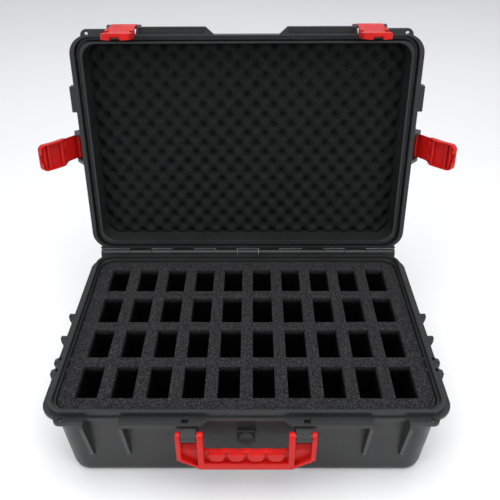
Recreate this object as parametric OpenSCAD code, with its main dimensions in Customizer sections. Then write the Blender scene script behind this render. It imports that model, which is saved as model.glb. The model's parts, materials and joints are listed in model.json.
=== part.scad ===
// Hard carry case for tabletop miniatures: a tub and a hinged lid in moulded plastic,
// four lever latches, a folding handle, a die-cut foam tray and a foam-lined lid.
// Frame: +X to the right, +Y to the hinge, +Z up, origin at the centre of the tub's underside.
// The lid, its latches, seal and foam are drawn shut and then swung open about the hinge pin.

/* [Case] */
// Half width of the rim
rim_hx = 277.5; // [275:0.5:285]
// Half depth of the rim
rim_hy = 184; // [182:0.5:188]
// Corner radius of the rim, seen from above
rim_r = 30; // [26:1:34]
// Height of the top of the tub's tongue above the floor
tub_h = 144.5; // [142:0.5:148]
// Height of the tub's flange top
flange_z = 135; // [133:0.5:136]
// Thickness of the flange
flange_t = 6; // [5:0.5:7]
// Thickness of the walls
wall_t = 3; // [2.5:0.1:3.5]
// Draft of a wall from flange to floor
draft = 9.5; // [8:0.5:11]
// Height of the lid above the flange
lid_h = 70; // [66:1:76]
// Angle of the open lid, counted from shut
lid_open = 97.6; // [90:0.1:105]

/* [Hinge] */
// Distance of the hinge pin behind the centre
hinge_y = 194.5; // [193:0.5:197]
// Height of the hinge pin
hinge_z = 139.3; // [139:0.1:140]
// Radius of the knuckles
knuckle_r = 6.5; // [6:0.1:7]
// Radius of the hinge pin
hinge_pin_r = 2.5; // [2:0.1:3]
// Half length of the whole hinge
hinge_hx = 266; // [264:1:268]
// Length of each end block
hinge_block = 52; // [50:1:54]
// Number of short knuckles between the end blocks
knuckles = 11; // [9:2:13]

/* [Foam] */
// Pockets from left to right
pocket_cols = 10; // [8:1:10]
// Pockets from front to back
pocket_rows = 4; // [3:1:4]
// Width of a pocket
pocket_w = 31; // [29:0.5:32]
// Depth of a pocket, front to back
pocket_d = 59.5; // [57:0.5:61]
// Distance between pocket centres, left to right
pitch_x = 49.2; // [48:0.1:49.5]
// Distance between pocket centres, front to back
pitch_y = 78.6; // [77:0.1:79]
// Height of the tray's top face
tray_z = 134.6; // [132:0.1:136]
// Thickness of the die-cut layer, which is the depth of a pocket
tray_t = 58; // [50:1:62]
// Thickness of the pad under the pockets
pad_t = 8; // [6:1:10]

/* [Latches] */
// Distance of the front latches from the middle
latch_x = 192; // [190:0.5:194]
// Place of the side latches, front to back
latch_y = 0; // [-4:0.5:4]
// Width of a lever at its grip
lever_w = 44; // [42:0.5:45]
// Length of a lever from its pin
lever_l = 79; // [76:1:82]
// Angle of the side latches, out from shut
side_swing = 36; // [30:1:50]
// Turn of a hook from clear of the catch to under it
hook_turn = 45; // [40:1:48]

/* [Handle] */
// Height of the handle's pivot
handle_z = 123; // [122:0.5:124]
// Distance of the handle's pivot in front of the centre
handle_y = 204; // [203.5:0.5:205]
// Half width of the handle
handle_hx = 93; // [93:0.5:95]
// Length of the handle from its pivot
handle_l = 61.5; // [60:0.5:68]

/* [Hidden] */
$fn = 48;
e = 0.05;
run = 0.06;
shell_color = "#2b2c2f";
red = "#d4201c";
foam_color = "#333336";
rubber_color = "#1b1b1d";
steel = "#8d9096";

// Tub: corner radii of its outside and inside, and the rounding at the floor
tub_r = 26;
tub_round = 4;
tub_round_z = 8;
hollow_r_low = 22;
hollow_r_top = 24;
// Tub: tongue round the rim that the seal closes on, and the step inside it
tongue_hx = 269;
tongue_hy = 181;
tongue_w = 5.5;
tongue_r = 27;
step_z = 137.8;
wall_hx = 265;
wall_hy = 177.2;
in_hx = 260.6;
in_hy = 172.8;
floor_t = 3.5;
flange_low = flange_z - flange_t;
// Lid: everything is drawn shut
lid_gap = 0.5;
lid_low = flange_z + lid_gap;
lid_rim_t = 16;
lid_top = flange_z + lid_h;
lip_w = 3.2;
lip_z = 138.4;
skirt_in = 269.8;
skirt_in_y = 181.8;
lid_wall_hx = 264.5;
lid_wall_hy = 176.7;
lid_taper = 8;
lid_crown = 6;
lid_r = 26;
lid_round = 4;
// Lid: how far its hollow stays inside the tub's, at the rim and at the crown
hollow_in_low = 1.5;
hollow_in_top = 9;
// Lid: width of the tongue's groove, and how far the cut that shortens the lip laps into it
groove_w = skirt_in - in_hx - lip_w + hollow_in_low;
lip_lap = 0.5;
seal_gap = 0.3;
seal_t = 5;
seal_w = 6.3;
seal_side = 0.6;
// Hinge: space between knuckles, how far their shelf stays from the pin, and clearance
knuckle_gap = 0.3;
shelf_gap = 9;
shelf_root = 4;
web_h = 11;
lid_shelf_t = 7;
knuckle_clear = 0.6;
// Hinge: thin shelf under the knuckles that closes the gap, and how far it passes the pin
gutter_t = 2.6;
gutter_out = 2.5;
// Foam: gap to the tub, corner radius, and the lid's lining
foam_gap = 0.4;
foam_r = 25;
lining_t = 36;
lining_in_low = 5.5;
lining_in_top = 9.5;
// Flange tabs in front
tab_y = 196;
tab_in = 51;
tab_slope = 12;
corner_tab_y = 193;
corner_hole_x = 247.4;
corner_hole_y = 186;
corner_hole_r = 3;
corner_tab_r = 9.5;
// Relief for a shackle above the lid's hole, a little wider than the hole
shackle_r = 3.5;
// Square core holes in both flanges, and how far a tab reaches back over the rim
core_x = 81;
core_y = 189;
core_w = 9;
core_d = 7;
tab_root = 8;
// Latch guards: ribs in front and fins at the sides, one pair to a latch
guard_gap = 46.5;
guard_t = 5.5;
guard_low = 46;
guard_out = 12;
fin_out = 8.5;
// Latch section: u points out from the catch face and z up, both from the catch edge
pin_u = 9.5;
pin_z = 160;
lever_pin_r = 1.9;
barrel_r = 5;
ear_gap = 40.8;
ear_t = 6;
near_w = 40;
hook_u = 4.2;
hook_v = 41;
hook_pin_r = 1.6;
hook_w = 33;
hook_gap = 12;
tip_u = 6.8;
prong_u = -2.4;
// Lugs for a strap
lug_y = -84.5;
lug_gap = 16;
lug_t = 6;
lug_out = 284.5;
bar_r = 2.5;
bar_x = 280.5;
bar_z = 123;
block_l = 42;
block_root = 1.5;
block_out = 7.5;
block_low = 0.5;
block_h = 15;
// Handle
lug_in = 65.8;
lug_out_x = 85.8;
lug_root = 7;
handle_pin_r = 2.5;
arm_t = 13;
arm_gap = 0.7;
grip_hx = 56.5;
grip_top = 30.5;
rail_h = 12;
slant = 20;
bumps = 4;
bump_pitch = 26.4;
bump_w = 21;
// Vent in the tub's front wall
vent_z = 94;
vent_w = 25;
vent_y = 182;
vent_ring_t = 1.2;
vent_deep = 10;
vent_bore_r = 8;
vent_shaft_r = 7.9;
vent_shaft_l = 11.5;
vent_cap_r = 10.5;
vent_cap_t = 3.5;
// Slot for a coin across the vent's cap
coin_l = 14;
coin_w = 2.4;

latch_names = ["front_left", "front_right", "side_left", "side_right"];

// Rounded rectangle made of true arcs
module rrect(hx, hy, r) {
  square([2 * (hx - r), 2 * hy], center = true);
  square([2 * hx, 2 * (hy - r)], center = true);
  for (sx = [-1, 1], sy = [-1, 1]) translate([sx * (hx - r), sy * (hy - r)]) circle(r);
}

module slab(hx, hy, r, z, t) { translate([0, 0, z]) linear_extrude(t) rrect(hx, hy, r); }

module ring(hx, hy, r, w, z, t) {
  translate([0, 0, z]) linear_extrude(t) difference() {
    rrect(hx, hy, r);
    rrect(hx - w, hy - w, r - w);
  }
}

// A block between two rounded rectangles
module drafted(hx0, hy0, r0, z0, hx1, hy1, r1, z1) {
  hull() {
    slab(hx0, hy0, r0, z0, e, $fn = 32);
    slab(hx1, hy1, r1, z1 - e, e, $fn = 32);
  }
}

// An outline in Y and Z, made into a plate that is t thick about x
module plate_x(x, t) {
  translate([x - t / 2, 0, 0]) rotate([90, 0, 90]) linear_extrude(t) children();
}

// An outline in X and Z, made into a plate that is t thick about y
module plate_y(y, t) {
  translate([0, y + t / 2, 0]) rotate([90, 0, 0]) linear_extrude(t) children();
}

module rod_x(x0, x1, y, z, r) {
  translate([x0, y, z]) rotate([0, 90, 0]) cylinder(h = x1 - x0, r = r);
}

module rod_y(y0, y1, x, z, r) {
  translate([x, y1, z]) rotate([90, 0, 0]) cylinder(h = y1 - y0, r = r);
}

module both_sides() {
  children();
  mirror([1, 0, 0]) children();
}

// The open position of everything on the lid
module opened() {
  translate([0, hinge_y, hinge_z]) rotate([-lid_open, 0, 0])
    translate([0, -hinge_y, -hinge_z]) children();
}

// Flange outline, with tabs round the handle and at the padlock holes
module flange_outline(hy) {
  rrect(rim_hx, hy, rim_r);
  both_sides() {
    polygon([[tab_in, -hy + tab_root], [tab_in, -hy], [tab_in + tab_slope, -tab_y],
      [latch_x - guard_gap / 2, -tab_y], [latch_x - guard_gap / 2, -hy + tab_root]]);
    translate([latch_x + guard_gap / 2, -corner_tab_y])
      square([corner_hole_x - latch_x - guard_gap / 2, corner_tab_y - hy + tab_root]);
    translate([corner_hole_x, corner_tab_r - corner_tab_y]) circle(corner_tab_r);
  }
}

module corner_holes(z, t, r) {
  both_sides() translate([corner_hole_x, -corner_hole_y, z]) cylinder(h = t, r = r);
}

module core_holes(z, t) {
  both_sides() translate([core_x, -core_y, z]) linear_extrude(t)
    square([core_w, core_d], center = true);
}

// Vertical plates that guard one latch: they stand out past the rim and root in the wall
module guards(out, root) {
  for (s = [-1, 1]) plate_y(s * (guard_gap + guard_t) / 2, guard_t)
    polygon([[-root - 2, flange_z], [out, flange_z], [out, flange_z - 9],
      [-root - 3.5, guard_low + 5], [-root - 5, guard_low], [-root - 8.5, guard_low]]);
}

// Places a latch by name: u to the outside, from the catch face
module at_latch(name) {
  front = name == "front_left" || name == "front_right";
  side = (name == "front_left" || name == "side_left") ? -1 : 1;
  place = front ? [side * latch_x, -rim_hy, 0] : [side * rim_hx, latch_y, 0];
  translate(place) rotate([0, 0, front ? -90 : (side < 0 ? 180 : 0)]) children();
}

// One knuckle on its web: the tub's hang down from the pin, the lid's stand up from it
module knuckle(x0, x1, down) {
  rod_x(x0, x1, hinge_y, hinge_z, knuckle_r);
  root_z = down ? flange_z : lid_low;
  plate_x((x0 + x1) / 2, x1 - x0) polygon([[hinge_y, hinge_z + knuckle_r * (down ? -1 : 1)],
    [hinge_y - knuckle_r, hinge_z], [hinge_y - knuckle_r - 1.5, root_z],
    [rim_hy - shelf_root, root_z], [rim_hy - shelf_root, root_z + (down ? -flange_t : web_h)]]);
}

// The straight shelf between a rim and its knuckles
module hinge_shelf(z, t) {
  translate([-hinge_hx, rim_hy - shelf_root, z])
    cube([2 * hinge_hx, hinge_y - shelf_gap - rim_hy + shelf_root, t]);
}

function knuckle_x(i) = -hinge_hx + hinge_block
  + i * 2 * (hinge_hx - hinge_block) / knuckles;

module base_shell() {
  color(shell_color) difference() {
    union() {
      drafted(wall_hx - draft - tub_round, wall_hy - draft - tub_round, tub_r - 2, 0,
        wall_hx - draft, wall_hy - draft, tub_r, tub_round_z);
      drafted(wall_hx - draft, wall_hy - draft, tub_r, tub_round_z - e,
        wall_hx, wall_hy, rim_r, flange_low + e);
      translate([0, 0, flange_low]) linear_extrude(flange_t) flange_outline(rim_hy);
      slab(tongue_hx, tongue_hy, tongue_r, flange_z - e, tub_h - flange_z + e);
      for (name = latch_names) at_latch(name)
        if (name == "front_left" || name == "front_right") guards(guard_out, rim_hy - wall_hy);
        else guards(fin_out, rim_hx - wall_hx);
      both_sides() handle_lug();
      both_sides() strap_lugs();
      hinge_shelf(flange_low, flange_t);
      translate([-hinge_hx, rim_hy - shelf_root, flange_low])
        cube([2 * hinge_hx, hinge_y + gutter_out - rim_hy + shelf_root, gutter_t]);
      plate_y(-vent_y + vent_deep / 2, vent_deep) translate([0, vent_z]) square(vent_w, center = true);
      for (i = [1:2:knuckles - 2])
        knuckle(knuckle_x(i) + knuckle_gap, knuckle_x(i + 1) - knuckle_gap, true);
      both_sides() knuckle(-hinge_hx, -hinge_hx + hinge_block - knuckle_gap, true);
    }
    drafted(wall_hx - draft - wall_t, wall_hy - draft - wall_t, hollow_r_low, floor_t,
      in_hx, in_hy, hollow_r_top, tub_h + 1);
    slab(tongue_hx - tongue_w, tongue_hy - tongue_w, tongue_r - tongue_w, step_z, 10);
    corner_holes(flange_low - 1, flange_t + 2, corner_hole_r);
    core_holes(flange_low - 1, flange_t + 2);
    rod_x(-hinge_hx - 1, hinge_hx + 1, hinge_y, hinge_z, hinge_pin_r);
    both_sides() rod_x(lug_in - 1, lug_out_x + 1, -handle_y, handle_z, handle_pin_r);
    both_sides() rod_y(lug_y - lug_gap / 2 - lug_t - 1, lug_y + lug_gap / 2 + lug_t + 1,
      bar_x, bar_z, bar_r);
    rod_y(-vent_y - 1, -vent_y + 20, 0, vent_z, vent_bore_r);
  }
}

module handle_lug() {
  plate_x((lug_in + lug_out_x) / 2, lug_out_x - lug_in) union() {
    polygon([[-wall_hy + lug_root, flange_low + 1], [-tab_y, flange_low + 1], [-handle_y - 6, handle_z + 1],
      [-handle_y - 6, handle_z], [-handle_y + 2, handle_z - 6], [-wall_hy + lug_root - 2, handle_z - 34]]);
    translate([-handle_y, handle_z]) circle(6);
  }
}

module strap_lugs() {
  for (s = [-1, 1]) plate_y(lug_y + s * (lug_gap + lug_t) / 2, lug_t)
    polygon([[258, flange_z], [rim_hx, flange_z], [lug_out, flange_z - 4], [lug_out, bar_z - 4],
      [bar_x, bar_z - 6], [258, bar_z - 26]]);
}

module lid_ear(s) {
  y = s * (ear_gap + ear_t) / 2;
  plate_y(y, ear_t) union() {
    translate([pin_u, pin_z]) circle(barrel_r + 0.5);
    polygon([[-12, lid_low + 1], [-0.5, lid_low + 1], [pin_u + 4, pin_z - 4],
      [pin_u + 5, pin_z + 2], [-12, pin_z + 26]]);
  }
}

module lid_shell() {
  color(shell_color) opened() difference() {
    union() {
      translate([0, 0, lid_low]) linear_extrude(flange_t - lid_gap) flange_outline(rim_hy);
      slab(rim_hx, rim_hy, rim_r, lid_low, lid_rim_t);
      drafted(lid_wall_hx, lid_wall_hy, rim_r - 2, lid_low + lid_rim_t - 1,
        lid_wall_hx - lid_taper, lid_wall_hy - lid_taper, lid_r, lid_top - lid_crown);
      drafted(lid_wall_hx - lid_taper, lid_wall_hy - lid_taper, lid_r, lid_top - lid_crown - e,
        lid_wall_hx - lid_taper - lid_crown, lid_wall_hy - lid_taper - lid_crown,
        lid_r - lid_round, lid_top);
      hinge_shelf(lid_low, lid_shelf_t);
      for (name = latch_names, s = [-1, 1]) at_latch(name) lid_ear(s);
      both_sides() translate([rim_hx - block_root, lug_y - block_l / 2, lid_low + block_low])
        cube([block_root + block_out, block_l, block_h]);
      for (i = [0:2:knuckles - 1])
        knuckle(knuckle_x(i) + knuckle_gap, knuckle_x(i + 1) - knuckle_gap, false);
    }
    drafted(in_hx - hollow_in_low, in_hy - hollow_in_low, hollow_r_top, lid_low - 2,
      in_hx - hollow_in_top, in_hy - hollow_in_top, hollow_r_low, lid_top - wall_t);
    // Room for the tub's tongue, and the seal's groove above it
    ring(skirt_in, skirt_in_y, tongue_r, groove_w, lid_low - 1,
      tub_h + seal_t + seal_gap - lid_low + 1);
    slab(skirt_in - groove_w + lip_lap, skirt_in_y - groove_w + lip_lap,
      tongue_r - groove_w + lip_lap, lid_low - 1, lip_z - lid_low + 1);
    corner_holes(lid_low - 1, flange_t + 2, corner_hole_r);
    corner_holes(flange_z + flange_t, lid_rim_t, shackle_r);
    core_holes(lid_low - 1, flange_t + 2);
    rod_x(-hinge_hx - 1, hinge_hx + 1, hinge_y, hinge_z, hinge_pin_r + run);
    for (name = latch_names) at_latch(name)
      rod_y(-ear_gap / 2 - ear_t - 1, ear_gap / 2 + ear_t + 1, pin_u, pin_z, lever_pin_r);
    // Clearance for the tub's knuckles
    for (i = [1:2:knuckles - 2])
      rod_x(knuckle_x(i), knuckle_x(i + 1), hinge_y, hinge_z, knuckle_r + knuckle_clear);
    both_sides()
      rod_x(-hinge_hx - 1, -hinge_hx + hinge_block, hinge_y, hinge_z, knuckle_r + knuckle_clear);
  }
}

module lid_seal() {
  color(rubber_color) opened() ring(skirt_in - seal_side, skirt_in_y - seal_side,
    tongue_r - seal_side, seal_w, tub_h + seal_gap, seal_t);
}

module hinge_pin() { color(steel) rod_x(-hinge_hx + 2, hinge_hx - 2, hinge_y, hinge_z, hinge_pin_r); }

// Half sizes of the tub's inside at height z
function in_x(z) = wall_hx - draft - wall_t
  + (in_hx - wall_hx + draft + wall_t) * (z - floor_t) / (tub_h + 1 - floor_t);
function in_y(z) = wall_hy - draft - wall_t
  + (in_hy - wall_hy + draft + wall_t) * (z - floor_t) / (tub_h + 1 - floor_t);

module foam_block(z0, z1) {
  drafted(in_x(z0) - foam_gap, in_y(z0) - foam_gap, foam_r, z0,
    in_x(z1) - foam_gap, in_y(z1) - foam_gap, foam_r, z1);
}

module foam_tray() {
  color(foam_color) difference() {
    foam_block(tray_z - tray_t, tray_z);
    for (i = [0:pocket_cols - 1], j = [0:pocket_rows - 1])
      translate([(i - (pocket_cols - 1) / 2) * pitch_x, (j - (pocket_rows - 1) / 2) * pitch_y,
        tray_z - tray_t / 2]) cube([pocket_w, pocket_d, tray_t + 2], center = true);
  }
}

module foam_pad() { color(foam_color) foam_block(tray_z - tray_t - pad_t, tray_z - tray_t); }

module foam_riser() { color(foam_color) foam_block(floor_t, tray_z - tray_t - pad_t); }

module lid_foam() {
  color(foam_color) opened() drafted(in_hx - lining_in_low, in_hy - lining_in_low, hollow_r_top,
    lid_top - wall_t - lining_t, in_hx - lining_in_top, in_hy - lining_in_top, hollow_r_top,
    lid_top - wall_t);
}

// The handle's frame as seen from the front, hanging down
module handle_outline() {
  low = handle_z - handle_l;
  difference() {
    polygon([[-handle_hx, handle_z + arm_t / 2], [-handle_hx, low + slant], [-62, low],
      [62, low], [handle_hx, low + slant], [handle_hx, handle_z + arm_t / 2]]);
    translate([-grip_hx, handle_z - grip_top]) square([2 * grip_hx, 60]);
    both_sides() translate([lug_in - arm_gap, handle_z - 20])
      square([lug_out_x - lug_in + 2 * arm_gap, 40]);
  }
}

module handle() {
  low = handle_z - handle_l;
  color(red) difference() {
    intersection() {
      plate_y(-handle_y, arm_t) handle_outline();
      union() {
        rod_x(-handle_hx, handle_hx, -handle_y, handle_z, arm_t / 2);
        translate([-handle_hx, -handle_y - arm_t / 2, low]) cube([2 * handle_hx, arm_t, handle_l]);
      }
    }
    // Recess behind the finger bumps, and the pockets beside the grip
    difference() {
      translate([-grip_hx + 3, -handle_y - arm_t, low + rail_h])
        cube([2 * grip_hx - 6, arm_t, handle_l - grip_top - rail_h + 1]);
      for (i = [0:bumps - 1]) translate([(i - (bumps - 1) / 2) * bump_pitch - bump_w / 2,
        -handle_y - arm_t / 2, low + rail_h + 4])
        cube([bump_w, arm_t, handle_l]);
    }
    both_sides() intersection() {
      translate([lug_in - arm_gap, -handle_y - arm_t, low])
        cube([lug_out_x - lug_in + 2 * arm_gap, arm_t + 1, handle_l]);
      plate_y(-handle_y, 3 * arm_t) polygon([[0, low + 5], [62, low + 5],
        [handle_hx, low + slant + 6], [handle_hx, handle_z], [0, handle_z]]);
    }
    rod_x(-handle_hx - 1, handle_hx + 1, -handle_y, handle_z, handle_pin_r + run);
  }
}

module handle_pin(side) {
  x0 = side < 0 ? -handle_hx + 0.5 : grip_hx + 3;
  color(steel) rod_x(x0, x0 + handle_hx - grip_hx - 3.5, -handle_y, handle_z, handle_pin_r);
}

// Lever section, from root to grip
module lever_plate() {
  translate([pin_u, pin_z]) circle(barrel_r);
  polygon([[pin_u, pin_z + 5], [13.6, pin_z + 3], [14.5, pin_z - 3], [14.5, pin_z - 12],
    [13.6, pin_z - 24], [12, pin_z - 34], [tip_u, pin_z - lever_l],
    [tip_u - 2.4, pin_z - lever_l], [9.6, pin_z - 34], [11.2, pin_z - 24],
    [11.9, pin_z - 10], [pin_u, pin_z - 4]]);
}

module lever_wall() {
  polygon([[12.6, pin_z - 29], [tip_u, pin_z - lever_l], [prong_u, pin_z - lever_l + 1],
    [1.6, pin_z - 38], [7, pin_z - 30]]);
}

module at_lever(name) {
  swing = (name == "side_left" || name == "side_right") ? side_swing : 0;
  opened() at_latch(name) translate([pin_u, 0, pin_z]) rotate([0, -swing, 0])
    translate([-pin_u, 0, -pin_z]) children();
}

module latch_lever(name) {
  color(red) at_lever(name) difference() {
    union() {
      intersection() {
        plate_y(0, near_w) lever_plate();
        translate([0, -near_w / 2, pin_z - 34]) cube([30, near_w, 60]);
      }
      intersection() {
        plate_y(0, lever_w) lever_plate();
        translate([0, -lever_w / 2, pin_z - lever_l]) cube([30, lever_w, lever_l - 29]);
      }
      for (s = [-1, 1]) translate([0, s * (lever_w - 2.4) / 2, 0]) plate_y(0, 2.4) lever_wall();
      // Tip: a band across and a prong at each end of it
      plate_y(0, lever_w) tip_wall(tip_u, tip_u - 5);
      for (s = [-1, 1]) translate([0, s * 14.5, 0]) plate_y(0, 15) tip_wall(tip_u, prong_u);
      // Finger ridges inside the grip
      for (v = [7, 12]) rod_y(-lever_w / 2 + 1, lever_w / 2 - 1, tip_u - 1.8, pin_z - lever_l + v, 1.6);
      // Bosses that carry the hook's pin
      for (s = [-1, 1]) plate_y(s * (hook_w / 2 + 2.6), 4.4) union() {
        translate([hook_u, pin_z - hook_v]) circle(3.6);
        polygon([[hook_u - 1, pin_z - hook_v + 3.3], [10.8, pin_z - hook_v + 7],
          [9.6, pin_z - hook_v - 8], [hook_u - 1, pin_z - hook_v - 3.3]]);
      }
    }
    rod_y(-lever_w, lever_w, pin_u, pin_z, lever_pin_r + run);
    rod_y(-lever_w, lever_w, hook_u, pin_z - hook_v, hook_pin_r);
  }
}

// End wall of a lever, from its face at u0 in to u1
module tip_wall(u0, u1) {
  translate([u1, pin_z - lever_l]) square([u0 - u1, 2.4]);
}

// The hook, drawn under the catch and then turned back clear of it
module latch_hook(name) {
  color(red) at_lever(name) translate([hook_u, 0, pin_z - hook_v]) rotate([0, hook_turn, 0])
    difference() {
      union() {
        rod_y(-hook_w / 2, hook_w / 2, 0, 0, 3.2);
        plate_y(0, hook_w) polygon([[-7.8, 9.6], [-2.6, 9.6], [2.4, 2], [2.4, -1.5],
          [-2.4, -1.8], [-3, 2.5], [-7.8, 7]]);
      }
      translate([-9, -hook_gap / 2, 4]) cube([12, hook_gap, 8]);
      rod_y(-hook_w, hook_w, 0, 0, hook_pin_r + run);
    }
}

module latch_pin(name) {
  color(steel) opened() at_latch(name)
    rod_y(-ear_gap / 2 - ear_t + 0.5, ear_gap / 2 + ear_t - 0.5, pin_u, pin_z, lever_pin_r);
}

module hook_pin(name) {
  color(steel) at_lever(name)
    rod_y(-hook_w / 2 - 4.6, hook_w / 2 + 4.6, hook_u, pin_z - hook_v, hook_pin_r);
}

module strap_bar(side) {
  color(steel) rod_y(lug_y - lug_gap / 2 - lug_t + 0.5, lug_y + lug_gap / 2 + lug_t - 0.5,
    side * bar_x, bar_z, bar_r);
}

module vent_cap() {
  face = -vent_y - vent_ring_t;
  color(shell_color) difference() {
    union() {
      rod_y(face - vent_cap_t, face, 0, vent_z, vent_cap_r);
      rod_y(face - 1, -vent_y + vent_shaft_l, 0, vent_z, vent_shaft_r);
    }
    plate_y(face - vent_cap_t, 2) translate([0, vent_z]) square([coin_l, coin_w], center = true);
  }
}

module vent_ring() {
  color(rubber_color) difference() {
    rod_y(-vent_y - vent_ring_t, -vent_y, 0, vent_z, vent_cap_r - 0.5);
    rod_y(-vent_y - vent_ring_t - 1, -vent_y + 1, 0, vent_z, vent_shaft_r);
  }
}

base_shell();
lid_shell();
lid_seal();
hinge_pin();
foam_tray();
foam_pad();
foam_riser();
lid_foam();
handle();
handle_pin(-1);  // handle_pin_left
handle_pin(1);  // handle_pin_right
latch_lever("front_left");  // latch_lever_front_left
latch_lever("front_right");  // latch_lever_front_right
latch_lever("side_left");  // latch_lever_side_left
latch_lever("side_right");  // latch_lever_side_right
latch_hook("front_left");  // latch_hook_front_left
latch_hook("front_right");  // latch_hook_front_right
latch_hook("side_left");  // latch_hook_side_left
latch_hook("side_right");  // latch_hook_side_right
latch_pin("front_left");  // latch_pin_front_left
latch_pin("front_right");  // latch_pin_front_right
latch_pin("side_left");  // latch_pin_side_left
latch_pin("side_right");  // latch_pin_side_right
hook_pin("front_left");  // hook_pin_front_left
hook_pin("front_right");  // hook_pin_front_right
hook_pin("side_left");  // hook_pin_side_left
hook_pin("side_right");  // hook_pin_side_right
strap_bar(-1);  // strap_bar_left
strap_bar(1);  // strap_bar_right
vent_cap();
vent_ring();
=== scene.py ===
import json
import math

import bmesh
import bpy
import numpy as np
from mathutils import Matrix, Vector


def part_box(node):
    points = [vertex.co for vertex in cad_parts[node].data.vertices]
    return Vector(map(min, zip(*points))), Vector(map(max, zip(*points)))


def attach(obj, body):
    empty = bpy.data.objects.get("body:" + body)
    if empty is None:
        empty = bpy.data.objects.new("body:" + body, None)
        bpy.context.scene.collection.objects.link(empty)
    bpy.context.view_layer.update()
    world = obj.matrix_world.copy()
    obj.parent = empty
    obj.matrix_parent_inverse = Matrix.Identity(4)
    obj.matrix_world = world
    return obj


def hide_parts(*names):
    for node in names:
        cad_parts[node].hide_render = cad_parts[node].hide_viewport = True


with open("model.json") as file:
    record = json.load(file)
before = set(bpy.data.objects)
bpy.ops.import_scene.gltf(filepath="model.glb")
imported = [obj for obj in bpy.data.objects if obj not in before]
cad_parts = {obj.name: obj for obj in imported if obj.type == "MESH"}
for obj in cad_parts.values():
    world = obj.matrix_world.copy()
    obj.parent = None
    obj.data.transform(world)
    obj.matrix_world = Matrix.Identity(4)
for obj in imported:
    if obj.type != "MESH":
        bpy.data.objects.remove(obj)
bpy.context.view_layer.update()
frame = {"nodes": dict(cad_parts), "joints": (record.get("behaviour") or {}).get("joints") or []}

# ---- Sizes, in millimetres, in the frame's axes. The lid is built shut and then opened.
MM = 0.001
JOINTS = {j["name"]: j for j in frame["joints"]}


def joint_place(name):
    return Vector(JOINTS[name]["pos_m"]) / MM


def cad_mm(node):
    low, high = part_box(node)
    return low / MM, high / MM


HINGE = joint_place("lid_hinge")
OPEN_ANGLE = math.radians(JOINTS["lid_hinge"]["range_deg"][1])
HINGE_HX = cad_mm("hinge_pin")[1].x + 2
KNUCKLE_R = 6.5
HINGE_BLOCK = 52
KNUCKLES = 11

# Rim, shared by tub and lid. HX and HY are half widths and half depths, and R is a corner radius.
RIM_HX = 277.5
RIM_HY = 184
RIM_R = 30
FLANGE_Z = 135
FLANGE_T = 6
FLANGE_LOW = FLANGE_Z - FLANGE_T

# Tub: outer wall at the floor and under the flange, tongue, and the inside
FOOT_HX = 255.6
FOOT_HY = 167.8
WALL_HX = 265
WALL_HY = 177.2
TONGUE_HX = 269
TONGUE_HY = 181
TONGUE_R = 27
TONGUE_W = 5.5
TONGUE_TOP = 144.5
STEP_Z = 137.8
INSIDE_HX = 260.6
INSIDE_HY = 172.8
TUB_FLOOR = 3.5
GUTTER_T = 2.6
GUTTER_OUT = 2.5

# Lid: edge of the top, wall above the rim, groove, and the lip inside it
LID_LOW = FLANGE_Z + 0.5
LID_TOP = 205
LID_RIM_TOP = 151.5
LID_EDGE_HX = 256.5
LID_EDGE_HY = 168.7
LID_EDGE_Z = 199
LID_WALL_HX = 264.5
LID_WALL_HY = 176.7
SKIRT_HX = 269.8
SKIRT_HY = 181.8
SKIRT_R = 27
GROOVE_W = 7.5
GROOVE_TOP = 149.8
LIP_Z = 138.4
LIP_IN_HX = 258.6
LIP_IN_HY = 170.8
WALL_T = 3

# Front flange: long tabs beside the handle, short ones with the padlock holes
TAB_Y = 196
TAB_IN = 51
TAB_SLOPE = 12
CORNER_TAB_Y = 193
PADLOCK = Vector((247.4, -186, 0))
PADLOCK_R = 3
CORNER_TAB_R = 9.5
CORE = Vector((81, -189, 0))
CORE_W = 9
CORE_D = 7
TROUGH_DEEP = 3.5
# How far faces that would lie on each other are kept apart
TUCK = 0.06
# How far into the rim's own material the parts outside it reach, clear of the groove
ROOT_Y = RIM_HY - 1.5

# Latches: places on the rim, and the guards beside each
LATCHES = ("front_left", "front_right", "side_left", "side_right")
LATCH_X = 192
LATCH_Y = 0
GUARD_GAP = 46.5
GUARD_T = 5.5
GUARD_LOW = 46
PIN_U = 9.5
PIN_Z = 160
EAR_GAP = 40.8
EAR_T = 6
LEVER_L = 83
LEVER_HW = 22
NEAR_HW = 20
TIP_R = 9
LEVER_T = 2.5
WALL_W = 2.4
BARREL_R = 3.6
FORK_W = 19.1
NOTCH_HW = 7.2
# Hook bar, and how far out its claws reach
BAR_R = 2.9
CLAW_IN = 6.3
CLAW_OUT = 16.2

# Strap lugs on the sides, and the block of the lid above them
STRAP_Y = -84.5
STRAP_EAR_OFF = 11
STRAP_BLOCK_HY = 21

# Handle
PIVOT = joint_place("handle_pivot")
HANDLE_LOW = cad_mm("handle")[0].z
HANDLE_HX = cad_mm("handle")[1].x
ARM_R = 6.5
GRIP_HX = 56.5
LUG_IN = 65.8
LUG_OUT = 85.8
ARM_GAP = 0.7
RAIL_H = 12
GRIP_TOP = 92.5
CORNER_X = 62
CORNER_RISE = 20
WAVE_H = 0.7
# Finger lobes on the grip
LOBES = 4
LOBE_PITCH = 26.4
LOBE_W = 21

# Foam
TRAY_LOW, TRAY_HIGH = cad_mm("foam_tray")
COLUMNS = 10
ROWS = 4
POCKET_W = 31
POCKET_D = 59.5
PITCH_X = 49.2
PITCH_Y = 78.6
TRAY_R = 24
FOAM_DRAFT = 3.1
# Crate foam: size, and the spacing and depth of its dimples
CRATE_HX = 255
CRATE_HY = 167.2
CRATE_FACE = 166.4
CRATE_X = 29.6
CRATE_Y = 33
CRATE_DEEP = 13


# ---- Paths and outlines
def arc(centre, radius, start, end, steps=8):
    """Points along an arc, in degrees."""
    turns = [math.radians(start + (end - start) * i / steps) for i in range(steps + 1)]
    return [(centre[0] + radius * math.cos(t), centre[1] + radius * math.sin(t)) for t in turns]


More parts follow.
